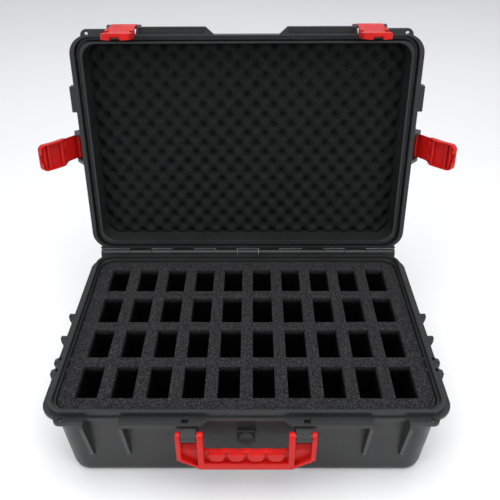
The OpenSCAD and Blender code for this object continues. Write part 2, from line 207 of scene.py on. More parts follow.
def soften(points, cut, steps=3, closed=True):
    """The path with its corners curved. Cut is how far back from a corner, or one number each."""
    points = [np.array(p, float) for p in points]
    cuts = cut if hasattr(cut, "__len__") else [cut] * len(points)
    made = []
    for i, p in enumerate(points):
        if not closed and i in (0, len(points) - 1):
            made.append(tuple(p))
            continue
        before, after = points[i - 1] - p, points[(i + 1) % len(points)] - p
        reach = [np.linalg.norm(v) for v in (before, after)]
        back = min(cuts[i], 0.49 * reach[0], 0.49 * reach[1])
        a, b = p + before * back / reach[0], p + after * back / reach[1]
        for k in range(steps + 1):
            t = k / steps
            made.append(tuple((1 - t) ** 2 * a + 2 * t * (1 - t) * p + t * t * b))
    return made


def rim_ring(hx, hy, r, z, steps=10):
    """A rounded rectangle at height z."""
    ring = []
    for turn, (sx, sy) in enumerate(((1, 1), (-1, 1), (-1, -1), (1, -1))):
        corner = (sx * (hx - r), sy * (hy - r))
        ring += [(x, y, z) for x, y in arc(corner, r, 90 * turn, 90 * turn + 90, steps)]
    return ring


# ---- Mesh building
def loft(rings, closed=False):
    """Skins rings that have the same number of points. An open one gets a face at each end."""
    bm = bmesh.new()
    rows = [[bm.verts.new(p) for p in ring] for ring in rings]
    for a, b in zip(rows, rows[1:] + (rows[:1] if closed else [])):
        for i in range(len(a)):
            bm.faces.new((a[i - 1], a[i], b[i], b[i - 1]))
    if not closed:
        bm.faces.new(rows[0])
        bm.faces.new(rows[-1])
    bmesh.ops.recalc_face_normals(bm, faces=bm.faces)
    return bm


def prism(outline, low, high, axis="z", bevel=0.8, segments=2):
    """An outline pushed along an axis, with its edges rounded."""
    order = {"x": lambda p, h: (h, p[0], p[1]), "y": lambda p, h: (p[0], h, p[1]),
             "z": lambda p, h: (p[0], p[1], h)}[axis]
    bm = loft([[order(p, low) for p in outline], [order(p, high) for p in outline]])
    if bevel:
        sharp = [e for e in bm.edges if e.calc_face_angle(0) > math.radians(25)]
        bmesh.ops.bevel(bm, geom=sharp, offset=bevel, segments=segments, profile=0.5,
                        affect="EDGES", clamp_overlap=True)
    return bm


def block(low, high, bevel=0.8, segments=2):
    """A box between two corners, with its edges rounded."""
    outline = [(low[0], low[1]), (high[0], low[1]), (high[0], high[1]), (low[0], high[1])]
    return prism(outline, low[2], high[2], "z", bevel, segments)


def disc(centre, radius, low, high, axis, bevel=0.5, steps=32):
    """A round bar along an axis, with its edges rounded."""
    return prism(arc(centre, radius, 0, 360 * (steps - 1) / steps, steps - 1), low, high, axis, bevel)


def join(*parts):
    """One mesh from several closed parts."""
    whole = bmesh.new()
    for part in parts:
        shell = bpy.data.meshes.new("part")
        part.to_mesh(shell)
        part.free()
        whole.from_mesh(shell)
        bpy.data.meshes.remove(shell)
    return whole


def moved(bm, matrix):
    bmesh.ops.transform(bm, matrix=matrix, verts=bm.verts)
    if matrix.determinant() < 0:
        bmesh.ops.reverse_faces(bm, faces=bm.faces)
    return bm


def both_sides(make):
    """The part that make() gives, and its mirror image in X."""
    return join(make(), moved(make(), Matrix.Scale(-1, 4, (1, 0, 0))))


def carved(bm, *cutters):
    """The part with the cutters taken out of it."""
    objects = []
    for part in (bm, join(*cutters)):
        mesh = bpy.data.meshes.new("carve")
        part.to_mesh(mesh)
        part.free()
        objects.append(bpy.data.objects.new("carve", mesh))
        bpy.context.scene.collection.objects.link(objects[-1])
    cut = objects[0].modifiers.new("cut", "BOOLEAN")
    cut.operation = "DIFFERENCE"
    cut.solver = "EXACT"
    cut.object = objects[1]
    bpy.context.view_layer.update()
    left = objects[0].evaluated_get(bpy.context.evaluated_depsgraph_get())
    result = bmesh.new()
    result.from_mesh(left.to_mesh())
    left.to_mesh_clear()
    for o in objects:
        bpy.data.objects.remove(o)
    return result


def piece(name, bm, body, material, nodes=(), place=None, sharp=32, weighted=True):
    """Makes a piece from a mesh in millimetres, and ties it to its body and CAD nodes."""
    matrix = Matrix.Scale(MM, 4)
    if place is not None:
        matrix = matrix @ place
    moved(bm, matrix)
    mesh = bpy.data.meshes.new(name)
    bm.to_mesh(mesh)
    bm.free()
    mesh.shade_smooth()
    mesh.set_sharp_from_angle(angle=math.radians(sharp))
    mesh.materials.append(material)
    o = bpy.data.objects.new(name, mesh)
    bpy.context.scene.collection.objects.link(o)
    if weighted:
        normals = o.modifiers.new("normals", "WEIGHTED_NORMAL")
        normals.keep_sharp = True
    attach(o, body)
    if nodes:
        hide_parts(*nodes)
    return o


# ---- Materials
FOAM_SPECULAR = 0.15
# Painted shade in the cut pockets: how far below the cut top it reaches, and its darkest factor
CUT_DEEP = 11
PAINTED_SHADE_LOW = 0.12


def shader(name, metallic=0.0, specular=0.5):
    m = bpy.data.materials.new(name)
    m.use_nodes = True
    nodes = m.node_tree.nodes
    main = nodes["Principled BSDF"]
    main.inputs["Metallic"].default_value = metallic
    main.inputs["Specular IOR Level"].default_value = specular
    place = nodes.new("ShaderNodeTexCoord").outputs["Object"]
    return m, main, place


def noise(m, place, size_mm, detail=3.0, roughness=0.55, stretch=None):
    """Noise whose features are about size_mm across."""
    nodes, links = m.node_tree.nodes, m.node_tree.links
    if stretch:
        mapping = nodes.new("ShaderNodeMapping")
        mapping.inputs["Scale"].default_value = stretch
        links.new(place, mapping.inputs["Vector"])
        place = mapping.outputs["Vector"]
    n = nodes.new("ShaderNodeTexNoise")
    n.inputs["Scale"].default_value = 1 / (size_mm * MM)
    n.inputs["Detail"].default_value = detail
    n.inputs["Roughness"].default_value = roughness
    links.new(place, n.inputs["Vector"])
    return n.outputs["Fac"]


def pores(m, place, size_mm):
    """Cells about size_mm across: near 0 inside a pore and higher at its walls."""
    nodes, links = m.node_tree.nodes, m.node_tree.links
    v = nodes.new("ShaderNodeTexVoronoi")
    v.feature = "F1"
    v.inputs["Scale"].default_value = 1 / (size_mm * MM)
    links.new(place, v.inputs["Vector"])
    return v.outputs["Distance"]


def ramp(m, value, stops):
    """Colours along a value, as (place, colour) stops."""
    r = m.node_tree.nodes.new("ShaderNodeValToRGB")
    for element, (at, colour) in zip(r.color_ramp.elements, (stops[0], stops[-1])):
        element.position = at
        element.color = (*colour, 1)
    for at, colour in stops[1:-1]:
        r.color_ramp.elements.new(at).color = (*colour, 1)
    m.node_tree.links.new(value, r.inputs["Fac"])
    return r.outputs["Color"]


def spread(m, value, low, high):
    """The middle of a noise's range, spread from low to high."""
    r = m.node_tree.nodes.new("ShaderNodeMapRange")
    r.inputs["From Min"].default_value = 0.25
    r.inputs["From Max"].default_value = 0.75
    r.inputs["To Min"].default_value = low
    r.inputs["To Max"].default_value = high
    m.node_tree.links.new(value, r.inputs["Value"])
    return r.outputs["Result"]


def bump(m, main, *layers):
    """Layers of (height value, height in mm), the last on top."""
    below = None
    for height, deep in layers:
        b = m.node_tree.nodes.new("ShaderNodeBump")
        b.inputs["Strength"].default_value = 1.0
        b.inputs["Distance"].default_value = deep * MM
        m.node_tree.links.new(height, b.inputs["Height"])
        if below:
            m.node_tree.links.new(below, b.inputs["Normal"])
        below = b.outputs["Normal"]
    m.node_tree.links.new(below, main.inputs["Normal"])


def grained_plastic(name, dark, light, rough):
    """Moulded plastic with a fine spark-eroded grain and slow changes of tone."""
    m, main, place = shader(name, specular=0.36)
    slow = noise(m, place, 60)
    fine = noise(m, place, 0.9, detail=2)
    links = m.node_tree.links
    links.new(ramp(m, slow, [(0.3, dark), (0.7, light)]), main.inputs["Base Color"])
    links.new(spread(m, noise(m, place, 14), rough - 0.05, rough + 0.06), main.inputs["Roughness"])
    bump(m, main, (noise(m, place, 35, detail=1), 0.10), (fine, 0.045))
    return m


def red_plastic(name):
    """Smooth moulded red, a little uneven in gloss, with faint flow marks."""
    m, main, place = shader(name, specular=0.2)
    flow = noise(m, place, 22, detail=2, stretch=(1, 1, 0.35))
    colour = ramp(m, flow, [(0.3, (0.40, 0.005, 0.004)), (0.7, (0.52, 0.009, 0.007))])
    m.node_tree.links.new(colour, main.inputs["Base Color"])
    gloss = noise(m, place, 6)
    m.node_tree.links.new(spread(m, gloss, 0.30, 0.42), main.inputs["Roughness"])
    bump(m, main, (noise(m, place, 18, detail=1), 0.05), (noise(m, place, 0.8, detail=2), 0.012))
    return m


def painted_shade_below(m, place, top):
    """Painted shade factor: 1 from just under the height top (mm) upwards, falling to the low factor at
    CUT_DEEP below it.
    """
    nodes, links = m.node_tree.nodes, m.node_tree.links
    split = nodes.new("ShaderNodeSeparateXYZ")
    links.new(place, split.inputs["Vector"])
    shade = nodes.new("ShaderNodeMapRange")
    shade.inputs["From Min"].default_value = (top - CUT_DEEP) * MM
    shade.inputs["From Max"].default_value = (top - 1.5) * MM
    shade.inputs["To Min"].default_value = PAINTED_SHADE_LOW
    links.new(split.outputs["Z"], shade.inputs["Value"])
    return shade.outputs["Result"]


def foam(name, dark, mid, light, cell_mm, cut_top=None):
    """Open-cell foam, speckled by its cells and dull. Under cut_top (mm) its colour and specular get
    painted shade, darker with depth, for the shade inside the cut pockets.
    """
    m, main, place = shader(name, specular=FOAM_SPECULAR)
    cells = pores(m, place, cell_mm)
    grain = noise(m, place, cell_mm * 1.4, detail=4, roughness=0.7)
    mix = m.node_tree.nodes.new("ShaderNodeMath")
    mix.operation = "MULTIPLY_ADD"
    mix.inputs[1].default_value = 0.45
    m.node_tree.links.new(cells, mix.inputs[0])
    m.node_tree.links.new(grain, mix.inputs[2])
    speckle = ramp(m, mix.outputs[0], [(0.42, dark), (0.66, mid), (0.95, light)])
    # Painted shade: below cut_top the colour and the specular are scaled down towards the low factor,
    # for the shade inside the pockets
    if cut_top is not None:
        nodes, links = m.node_tree.nodes, m.node_tree.links
        shade = painted_shade_below(m, place, cut_top)
        gloss = nodes.new("ShaderNodeMath")
        gloss.operation = "MULTIPLY"
        gloss.inputs[1].default_value = FOAM_SPECULAR
        links.new(shade, gloss.inputs[0])
        links.new(gloss.outputs[0], main.inputs["Specular IOR Level"])
        painted_shade_colour = nodes.new("ShaderNodeVectorMath")
        painted_shade_colour.operation = "SCALE"
        links.new(speckle, painted_shade_colour.inputs["Vector"])
        links.new(shade, painted_shade_colour.inputs["Scale"])
        speckle = painted_shade_colour.outputs["Vector"]
    m.node_tree.links.new(speckle, main.inputs["Base Color"])
    main.inputs["Roughness"].default_value = 0.95
    bump(m, main, (noise(m, place, 12, detail=2), 0.5), (mix.outputs[0], 0.35))
    return m


def rubber(name):
    m, main, place = shader(name, specular=0.35)
    tone = noise(m, place, 9)
    m.node_tree.links.new(ramp(m, tone, [(0.3, (0.028, 0.029, 0.030)), (0.7, (0.045, 0.046, 0.048))]),
                          main.inputs["Base Color"])
    m.node_tree.links.new(spread(m, tone, 0.62, 0.78), main.inputs["Roughness"])
    bump(m, main, (noise(m, place, 1.2), 0.05))
    return m


def steel(name):
    """Drawn steel rod: fine streaks along X and Y."""
    m, main, place = shader(name, metallic=1.0)
    streaks = noise(m, place, 1.5, detail=4, stretch=(0.08, 0.3, 1))
    m.node_tree.links.new(ramp(m, streaks, [(0.3, (0.36, 0.37, 0.39)), (0.7, (0.55, 0.56, 0.58))]),
                          main.inputs["Base Color"])
    m.node_tree.links.new(spread(m, streaks, 0.28, 0.45), main.inputs["Roughness"])
    bump(m, main, (streaks, 0.01))
    return m


def floor_paint(name):
    m, main, place = shader(name, specular=0.2)
    tone = noise(m, place, 700, detail=2)
    m.node_tree.links.new(ramp(m, tone, [(0.3, (0.77, 0.77, 0.77)), (0.7, (0.80, 0.80, 0.80))]),
                          main.inputs["Base Color"])
    main.inputs["Roughness"].default_value = 0.6
    return m


SHELL = grained_plastic("case_plastic", (0.0125, 0.0128, 0.013), (0.018, 0.0183, 0.0186), 0.38)
# The vent cap gets a lighter grey than the shell: painted light that brightens it in the shadow under
# the flange
VENT_PAINTED_LIGHT = grained_plastic("vent_plastic_painted_light", (0.030, 0.030, 0.030), (0.040, 0.040, 0.040), 0.5)
RED = red_plastic("red_plastic")
TRAY_FOAM = foam("tray_foam", (0.0025, 0.0025, 0.0026), (0.0085, 0.0085, 0.009),
                 (0.042, 0.042, 0.043), 1.7, TRAY_HIGH.z)
LID_FOAM = foam("lid_foam", (0.0028, 0.0031, 0.0031), (0.0058, 0.0064, 0.0062),
                (0.014, 0.015, 0.015), 1.6)
RUBBER = rubber("rubber")
STEEL = steel("pin_steel")

# ---- Placing things on the lid and on the latches
OPENED = (Matrix.Translation(HINGE) @ Matrix.Rotation(-OPEN_ANGLE, 4, "X")
          @ Matrix.Translation(-HINGE))


def rim_place(name):
    """Local frame of a latch on the rim: X to the outside, Y along the rim, Z up, lid shut."""
    side = -1 if name.endswith("left") else 1
    if name.startswith("front"):
        return Matrix.Translation((side * LATCH_X, -RIM_HY, 0)) @ Matrix.Rotation(-math.pi / 2, 4, "Z")
    turn = math.pi if side < 0 else 0
    return Matrix.Translation((side * RIM_HX, LATCH_Y, 0)) @ Matrix.Rotation(turn, 4, "Z")


def lever_place(name):
    """Frame of a lever at rest: origin on its pin, X outward, Z towards its root."""
    swing = math.radians(JOINTS["latch_" + name]["range_deg"][1])
    turn = (OPENED @ rim_place(name)).to_3x3().to_4x4() @ Matrix.Rotation(-swing, 4, "Y")
    return Matrix.Translation(joint_place("latch_" + name)) @ turn


def hook_place(name):
    """Frame of a hook at rest: origin on its pin, drawn as it stands under the catch."""
    turned = math.radians(JOINTS["hook_" + name]["range_deg"][1])
    turn = lever_place(name).to_3x3().to_4x4() @ Matrix.Rotation(turned, 4, "Y")
    return Matrix.Translation(joint_place("hook_" + name)) @ turn


def knuckle_x(i):
    """Where knuckle i starts, between the plain blocks at the hinge's ends."""
    return -HINGE_HX + HINGE_BLOCK + i * 2 * (HINGE_HX - HINGE_BLOCK) / KNUCKLES


# ---- Shells
def flange_tab(low, high, trough=False):
    """Long tab beside the handle, on the right, with a square core hole or a trough underneath."""
    end = LATCH_X - GUARD_GAP / 2
    outline = [(TAB_IN - 2, -ROOT_Y), (TAB_IN - 2, -RIM_HY + 0.5), (TAB_IN + TAB_SLOPE, -TAB_Y),
               (end, -TAB_Y), (end, -ROOT_Y)]
    hole = block((CORE.x - CORE_W / 2, CORE.y - CORE_D / 2, low - 1),
                 (CORE.x + CORE_W / 2, CORE.y + CORE_D / 2, high + 1), 0)
    if trough:
        hole = block((TAB_IN + 14, -TAB_Y + 2, low - 1), (end - 3, -RIM_HY - 2.5, low + TROUGH_DEEP), 0)
    return carved(prism(outline, low + TUCK, high - TUCK, "z", 1.0), hole)


def padlock_tab(low, high):
    """Corner tab on the right, round the padlock hole."""
    start = LATCH_X + GUARD_GAP / 2
    round_end = arc((PADLOCK.x, CORNER_TAB_R - CORNER_TAB_Y), CORNER_TAB_R, -90, 15, 10)
    outline = [(start, -ROOT_Y), (start, -CORNER_TAB_Y), *round_end, (PADLOCK.x, -ROOT_Y)]
    hole = disc(PADLOCK, PADLOCK_R, low - 1, high + 1, "z", 0)
    return carved(prism(outline, low + TUCK, high - TUCK, "z", 1.0), hole)


def padlock_holes(low, high, radius):
    return [disc((side * PADLOCK.x, PADLOCK.y), radius, low, high, "z", 0) for side in (-1, 1)]


def shell_ring(stations):
    """A shell from (half width, half depth, corner radius, height, rounding) stations."""
    path = soften([s[:4] for s in stations], [s[4] for s in stations], closed=False)
    return loft([rim_ring(*s) for s in path])


def knuckle(i_low, i_high, down):
    """A hinge knuckle with its web, between two places along the hinge."""
    rod = disc((HINGE.y, HINGE.z), KNUCKLE_R, i_low, i_high, "x", 0.6)
    root = FLANGE_Z if down else LID_LOW
    sign = -1 if down else 1
    web = [(HINGE.y, HINGE.z + sign * KNUCKLE_R), (HINGE.y - KNUCKLE_R, HINGE.z),
           (HINGE.y - KNUCKLE_R - 1.5, root), (ROOT_Y, root),
           (ROOT_Y, root - FLANGE_T if down else root + 11)]
    return join(rod, prism(web, i_low, i_high, "x", 0.6))


def hinge_shelf(low, high):
    """Ledge along the back of the rim, in front of the knuckles."""
    return block((-HINGE_HX, ROOT_Y, low), (HINGE_HX, HINGE.y - 9, high), 0.8)


def guards(name):
    """Two tapering plates beside a latch on the tub."""
    front = name.startswith("front")
    out, root = (12, 6.8) if front else (8.5, 12.5)
    top = FLANGE_Z - 3 * TUCK
    outline = soften([(-root - 2, top), (out - TUCK, top), (out - TUCK, top - 9),
                      (-root + 1, GUARD_LOW + 8), (-root - 2, GUARD_LOW + 1), (-root - 8.5, GUARD_LOW)],
                     [0.5, 1.5, 3, 3, 2, 0.5])
    thick = GUARD_T / 2 - TUCK
    plates = [prism(outline, s * (GUARD_GAP + GUARD_T) / 2 - thick,
                    s * (GUARD_GAP + GUARD_T) / 2 + thick, "y", 1.0) for s in (-1, 1)]
    return moved(join(*plates), rim_place(name))


def handle_lug():
    """Lug on the right that one end of the handle turns on."""
    outline = soften([(-170, FLANGE_Z - 5), (-TAB_Y, FLANGE_Z - 5), (PIVOT.y - 6.2, PIVOT.z + 5.5),
                      (PIVOT.y - 6.2, PIVOT.z - 6), (PIVOT.y + 2, PIVOT.z - 9), (-172, PIVOT.z - 34)],
                     [0.5, 1, 1.5, 3, 3, 1])
    boss = disc((PIVOT.y, PIVOT.z), 6, LUG_IN, LUG_OUT, "x", 0.6)
    return join(prism(outline, LUG_IN, LUG_OUT, "x", 0.8), boss)


def strap_lugs():
    """Two ears on the right wall that hold the strap bar between them."""
    ears = []
    for s in (-1, 1):
        outline = soften([(258, FLANGE_Z), (RIM_HX, FLANGE_Z), (284.5, FLANGE_Z - 4), (284.5, 119),
                          (280.5, 117), (258, 97)], [0.5, 2, 2, 2, 2, 0.5])
        at = STRAP_Y + s * STRAP_EAR_OFF
        ears.append(prism(outline, at - 3, at + 3, "y", 0.8))
    return join(*ears)


def tub():
    """The tub with everything moulded on it, from its rim profile down to the lugs."""
    in_hx = TONGUE_HX - TONGUE_W
    in_hy = TONGUE_HY - TONGUE_W
    in_r = TONGUE_R - TONGUE_W
    low = FLANGE_LOW
    shell = shell_ring([
        (235, 147, 22, 0, 0),
        (FOOT_HX, FOOT_HY, 26, 0, 15),
        (WALL_HX, WALL_HY, RIM_R, low, 0.8),
        (RIM_HX, RIM_HY, RIM_R, low, 1.4),
        (RIM_HX, RIM_HY, RIM_R, FLANGE_Z, 1.4),
        (TONGUE_HX, TONGUE_HY, TONGUE_R, FLANGE_Z, 0.9),
        (TONGUE_HX, TONGUE_HY, TONGUE_R, TONGUE_TOP, 1.6),
        (in_hx, in_hy, in_r, TONGUE_TOP, 1.2),
        (in_hx, in_hy, in_r, STEP_Z, 0.6),
        (INSIDE_HX, INSIDE_HY, 24, STEP_Z, 0.9),
        (252.5, 164.7, 22, TUB_FLOOR, 8),
        (230, 142, 20, TUB_FLOOR, 0)])
    shell = carved(shell, *padlock_holes(low - 1, FLANGE_Z + 1, PADLOCK_R))
    tabs = both_sides(lambda: join(flange_tab(low, FLANGE_Z), padlock_tab(low, FLANGE_Z)))
    gutter = block((-HINGE_HX, RIM_HY - 4, low), (HINGE_HX, HINGE.y + GUTTER_OUT, low + GUTTER_T), 0.6)
    brow = both_sides(lambda: block((52, -180.4, 123.5), (LATCH_X - GUARD_GAP / 2, -172, low + 1), 0.8))
    vent_boss = block((-12.5, -182, 81.5), (12.5, -170, 106.5), 1.5)
    knuckles = [knuckle(knuckle_x(i) + 0.3, knuckle_x(i + 1) - 0.3, True)
                for i in range(1, KNUCKLES - 1, 2)]
    ends = both_sides(lambda: knuckle(HINGE_HX - HINGE_BLOCK + 0.3, HINGE_HX, True))
    return join(shell, tabs, brow, vent_boss, gutter, hinge_shelf(low, FLANGE_Z), both_sides(handle_lug),
                both_sides(strap_lugs), ends, *[guards(n) for n in LATCHES], *knuckles)


def lid_ears(name):
    """Two triangular ears that carry a lever's pin."""
    out = PIN_U + (2.6 if name.startswith("front") else 5)
    outline = soften([(-1.5, LID_LOW + 1), (-0.5, LID_LOW + 1), (out, PIN_Z - 4.5),
                      (out + 0.6, PIN_Z + 1), (PIN_U, PIN_Z + 6), (-12, PIN_Z + 26),
                      (-12, LID_RIM_TOP - 0.5), (-1.5, LID_RIM_TOP - 0.5)],
                     [0.3, 0.5, 2, 2.5, 3, 0.5, 0.5, 0.5])
    plates = [prism(outline, s * (EAR_GAP + EAR_T) / 2 - EAR_T / 2,
                    s * (EAR_GAP + EAR_T) / 2 + EAR_T / 2, "y", 0.9) for s in (-1, 1)]
    return moved(join(*plates), rim_place(name))


def lid():
    """The shut lid with its tabs, ears, side blocks and hinge knuckles."""
    groove_hx = SKIRT_HX - GROOVE_W
    groove_hy = SKIRT_HY - GROOVE_W
    groove_r = SKIRT_R - GROOVE_W
    ceiling = LID_TOP - WALL_T
    shell = shell_ring([
        (235, 147, 20, LID_TOP, 0),
        (LID_EDGE_HX - 6, LID_EDGE_HY - 6, 22, LID_TOP, 5),
        (LID_EDGE_HX, LID_EDGE_HY, 26, LID_EDGE_Z, 6),
        (LID_WALL_HX, LID_WALL_HY, 28, LID_RIM_TOP, 1.5),
        (RIM_HX, RIM_HY, RIM_R, LID_RIM_TOP, 2.2),
        (RIM_HX, RIM_HY, RIM_R, LID_LOW, 1.6),
        (SKIRT_HX, SKIRT_HY, SKIRT_R, LID_LOW, 0.8),
        (SKIRT_HX, SKIRT_HY, SKIRT_R, GROOVE_TOP, 0.5),
        (groove_hx, groove_hy, groove_r, GROOVE_TOP, 0.5),
        (groove_hx, groove_hy, groove_r, LIP_Z, 1.3),
        (LIP_IN_HX, LIP_IN_HY, 23.5, LIP_Z, 1.3),
        (251.6, 163.8, 22, ceiling, 6),
        (232, 144, 20, ceiling, 0)])
    top = FLANGE_Z + FLANGE_T
    shell = carved(shell, *padlock_holes(LID_LOW - 1, LID_RIM_TOP + 3, PADLOCK_R))
    shell = carved(shell, *padlock_holes(top, LID_RIM_TOP + 3, PADLOCK_R + 0.5))
    tabs = both_sides(lambda: join(flange_tab(LID_LOW, top, True), padlock_tab(LID_LOW, top)))
    side_blocks = both_sides(lambda: block((276, STRAP_Y - STRAP_BLOCK_HY, 136),
                                           (285, STRAP_Y + STRAP_BLOCK_HY, 151), 1.6))
    knuckles = [knuckle(knuckle_x(i) + 0.3, knuckle_x(i + 1) - 0.3, False)
                for i in range(0, KNUCKLES, 2)]
    return join(shell, tabs, side_blocks, hinge_shelf(LID_LOW, LID_LOW + 7),
                *[lid_ears(n) for n in LATCHES], *knuckles)


def seal():
    """Rubber ring in the lid's groove, with a rounded face towards the tub."""
    gap = 0.6
    width = GROOVE_W - 2 * gap
    top = GROOVE_TOP
    section = soften([(0, top), (0, 145.4), (-width / 2, 144.8), (-width, 145.4), (-width, top)],
                     [0.3, 1.6, 2.2, 1.6, 0.3])
    return loft([rim_ring(SKIRT_HX - gap + u, SKIRT_HY - gap + u, SKIRT_R - gap + u, z)
                 for u, z in section], closed=True)


# ---- Foam
def into_corner(x, y, hx, hy, r):
    """Moves a point of a rectangle so that the rectangle's corners become round."""
    a, b = abs(x) - (hx - r), abs(y) - (hy - r)
    if a <= 0 or b <= 0:
        return x, y
    scale = max(a, b) / math.hypot(a, b)
    return math.copysign(hx - r + a * scale, x), math.copysign(hy - r + b * scale, y)


def steps_between(cuts, longest):
    """The cuts with even steps, none over longest, added between them."""
    made = [cuts[0]]
    for a, b in zip(cuts, cuts[1:]):
        n = max(1, math.ceil((b - a) / longest))
        made += [a + (b - a) * i / n for i in range(1, n + 1)]
    return made


def cut_edges(count, pitch, width):
    """Places of both edges of each cut in a centred row."""
    middles = [(i - (count - 1) / 2) * pitch for i in range(count)]
    return [middle + s * width / 2 for middle in middles for s in (-1, 1)]


def tray():
    """The die-cut layer: open pockets, a slightly uneven top and soft cut edges."""
    hx, hy = TRAY_HIGH.x, TRAY_HIGH.y
    low_hx, low_hy = hx - FOAM_DRAFT, hy - FOAM_DRAFT
    edges_x = cut_edges(COLUMNS, PITCH_X, POCKET_W)
    edges_y = cut_edges(ROWS, PITCH_Y, POCKET_D)
    xs = steps_between([-hx, *edges_x, hx], 8)
    ys = steps_between([-hy, *edges_y, hy], 8)
    bm = bmesh.new()

    def in_pocket(x, y):
        in_x = any(a < x < b for a, b in zip(edges_x[::2], edges_x[1::2]))
        return in_x and any(a < y < b for a, b in zip(edges_y[::2], edges_y[1::2]))

    def layer(z, sag, shrink_x, shrink_y):
        rows = []
        for x in xs:
            row = []
            for y in ys:
                px, py = into_corner(x, y, hx, hy, TRAY_R)
                dip = sag * (0.5 + 0.5 * math.sin(x / 47 + 0.6) * math.cos(y / 39))
                row.append(bm.verts.new((px * shrink_x, py * shrink_y, z - dip)))
            rows.append(row)
        return rows

    top = layer(TRAY_HIGH.z, 0.7, 1, 1)
    under = layer(TRAY_LOW.z + 0.1, 0, low_hx / hx, low_hy / hy)
    cell = {}
    for i in range(len(xs) - 1):
        for j in range(len(ys) - 1):
            solid = not in_pocket((xs[i] + xs[i + 1]) / 2, (ys[j] + ys[j + 1]) / 2)
            cell[i, j] = solid
            if solid:
                bm.faces.new((top[i][j], top[i + 1][j], top[i + 1][j + 1], top[i][j + 1]))
                bm.faces.new((under[i][j + 1], under[i + 1][j + 1], under[i + 1][j], under[i][j]))
    # Walls where a solid cell meets a pocket or the outside
    for (i, j), solid in cell.items():
        if not solid:
            continue
        corners = ((i, j), (i + 1, j), (i + 1, j + 1), (i, j + 1))
        beside = ((i, j - 1), (i + 1, j), (i, j + 1), (i - 1, j))
        for k, other in enumerate(beside):
            if cell.get(other, False):
                continue
            a, b = corners[k], corners[(k + 1) % 4]
            bm.faces.new((top[b[0]][b[1]], top[a[0]][a[1]], under[a[0]][a[1]], under[b[0]][b[1]]))
    loose = [v for v in bm.verts if not v.link_faces]
    bmesh.ops.delete(bm, geom=loose, context="VERTS")
    bmesh.ops.recalc_face_normals(bm, faces=bm.faces)
    rim = [e for e in bm.edges if e.calc_face_angle(0) > math.radians(50)
           and min(v.co.z for v in e.verts) > TRAY_HIGH.z - 3]
    bmesh.ops.bevel(bm, geom=rim, offset=0.9, segments=2, profile=0.5, affect="EDGES",
                    clamp_overlap=True)
    return bm


def foam_slab(node):
    """A plain inner layer of foam with soft edges, inside the box of its CAD solid."""
    low, high = cad_mm(node)
    gap = 0.1
    return shell_ring([
        (high.x - 40, high.y - 40, 20, low.z + gap, 0),
        (high.x - 3.4, high.y - 3.4, 24, low.z + gap, 1.5),
        (high.x - gap, high.y - gap, 25, high.z - gap, 1.5),
        (high.x - 40, high.y - 40, 20, high.z - gap, 0)])


def crate_lining():
    """Egg-crate foam in the shut lid: staggered dimples between low peaks."""
    back = LID_TOP - WALL_T - 0.1
    xs = np.linspace(-CRATE_HX, CRATE_HX, 181)
    ys = np.linspace(-CRATE_HY, CRATE_HY, 111)
    bm = bmesh.new()

    def height(x, y):
        """0 at a peak and 1 at the bottom of a dimple."""
        wave = math.cos(2 * math.pi * x / CRATE_X) * math.cos(2 * math.pi * y / CRATE_Y)
        sway = 0.06 * math.sin(x / 31 + y / 53)
        return max(0.0, min(1.0, 0.5 - 0.5 * (wave + sway))) ** 2.3

    front = []
    behind = []
    for x in xs:
        row = []
        base = []
        for y in ys:
            px, py = into_corner(x, y, CRATE_HX, CRATE_HY, TRAY_R)
            edge = min(CRATE_HX - abs(x), CRATE_HY - abs(y))
            z = CRATE_FACE + CRATE_DEEP * height(px, py) + max(0.0, 3 - edge) * 0.6
            row.append(bm.verts.new((px, py, z)))
            base.append(bm.verts.new((px * 0.985, py * 0.975, back)))
        front.append(row)
        behind.append(base)
    last_x, last_y = len(xs) - 1, len(ys) - 1
    for i in range(last_x):
        for j in range(last_y):
            bm.faces.new((front[i][j], front[i][j + 1], front[i + 1][j + 1], front[i + 1][j]))
            bm.faces.new((behind[i][j], behind[i + 1][j], behind[i + 1][j + 1], behind[i][j + 1]))
    for i in range(last_x):
        for j, flip in ((0, False), (last_y, True)):
            quad = (front[i][j], front[i + 1][j], behind[i + 1][j], behind[i][j])
            bm.faces.new(quad[::-1] if flip else quad)
    for j in range(last_y):
        for i, flip in ((0, True), (last_x, False)):
            quad = (front[i][j], front[i][j + 1], behind[i][j + 1], behind[i][j])
            bm.faces.new(quad[::-1] if flip else quad)
    bmesh.ops.recalc_face_normals(bm, faces=bm.faces)
    return bm


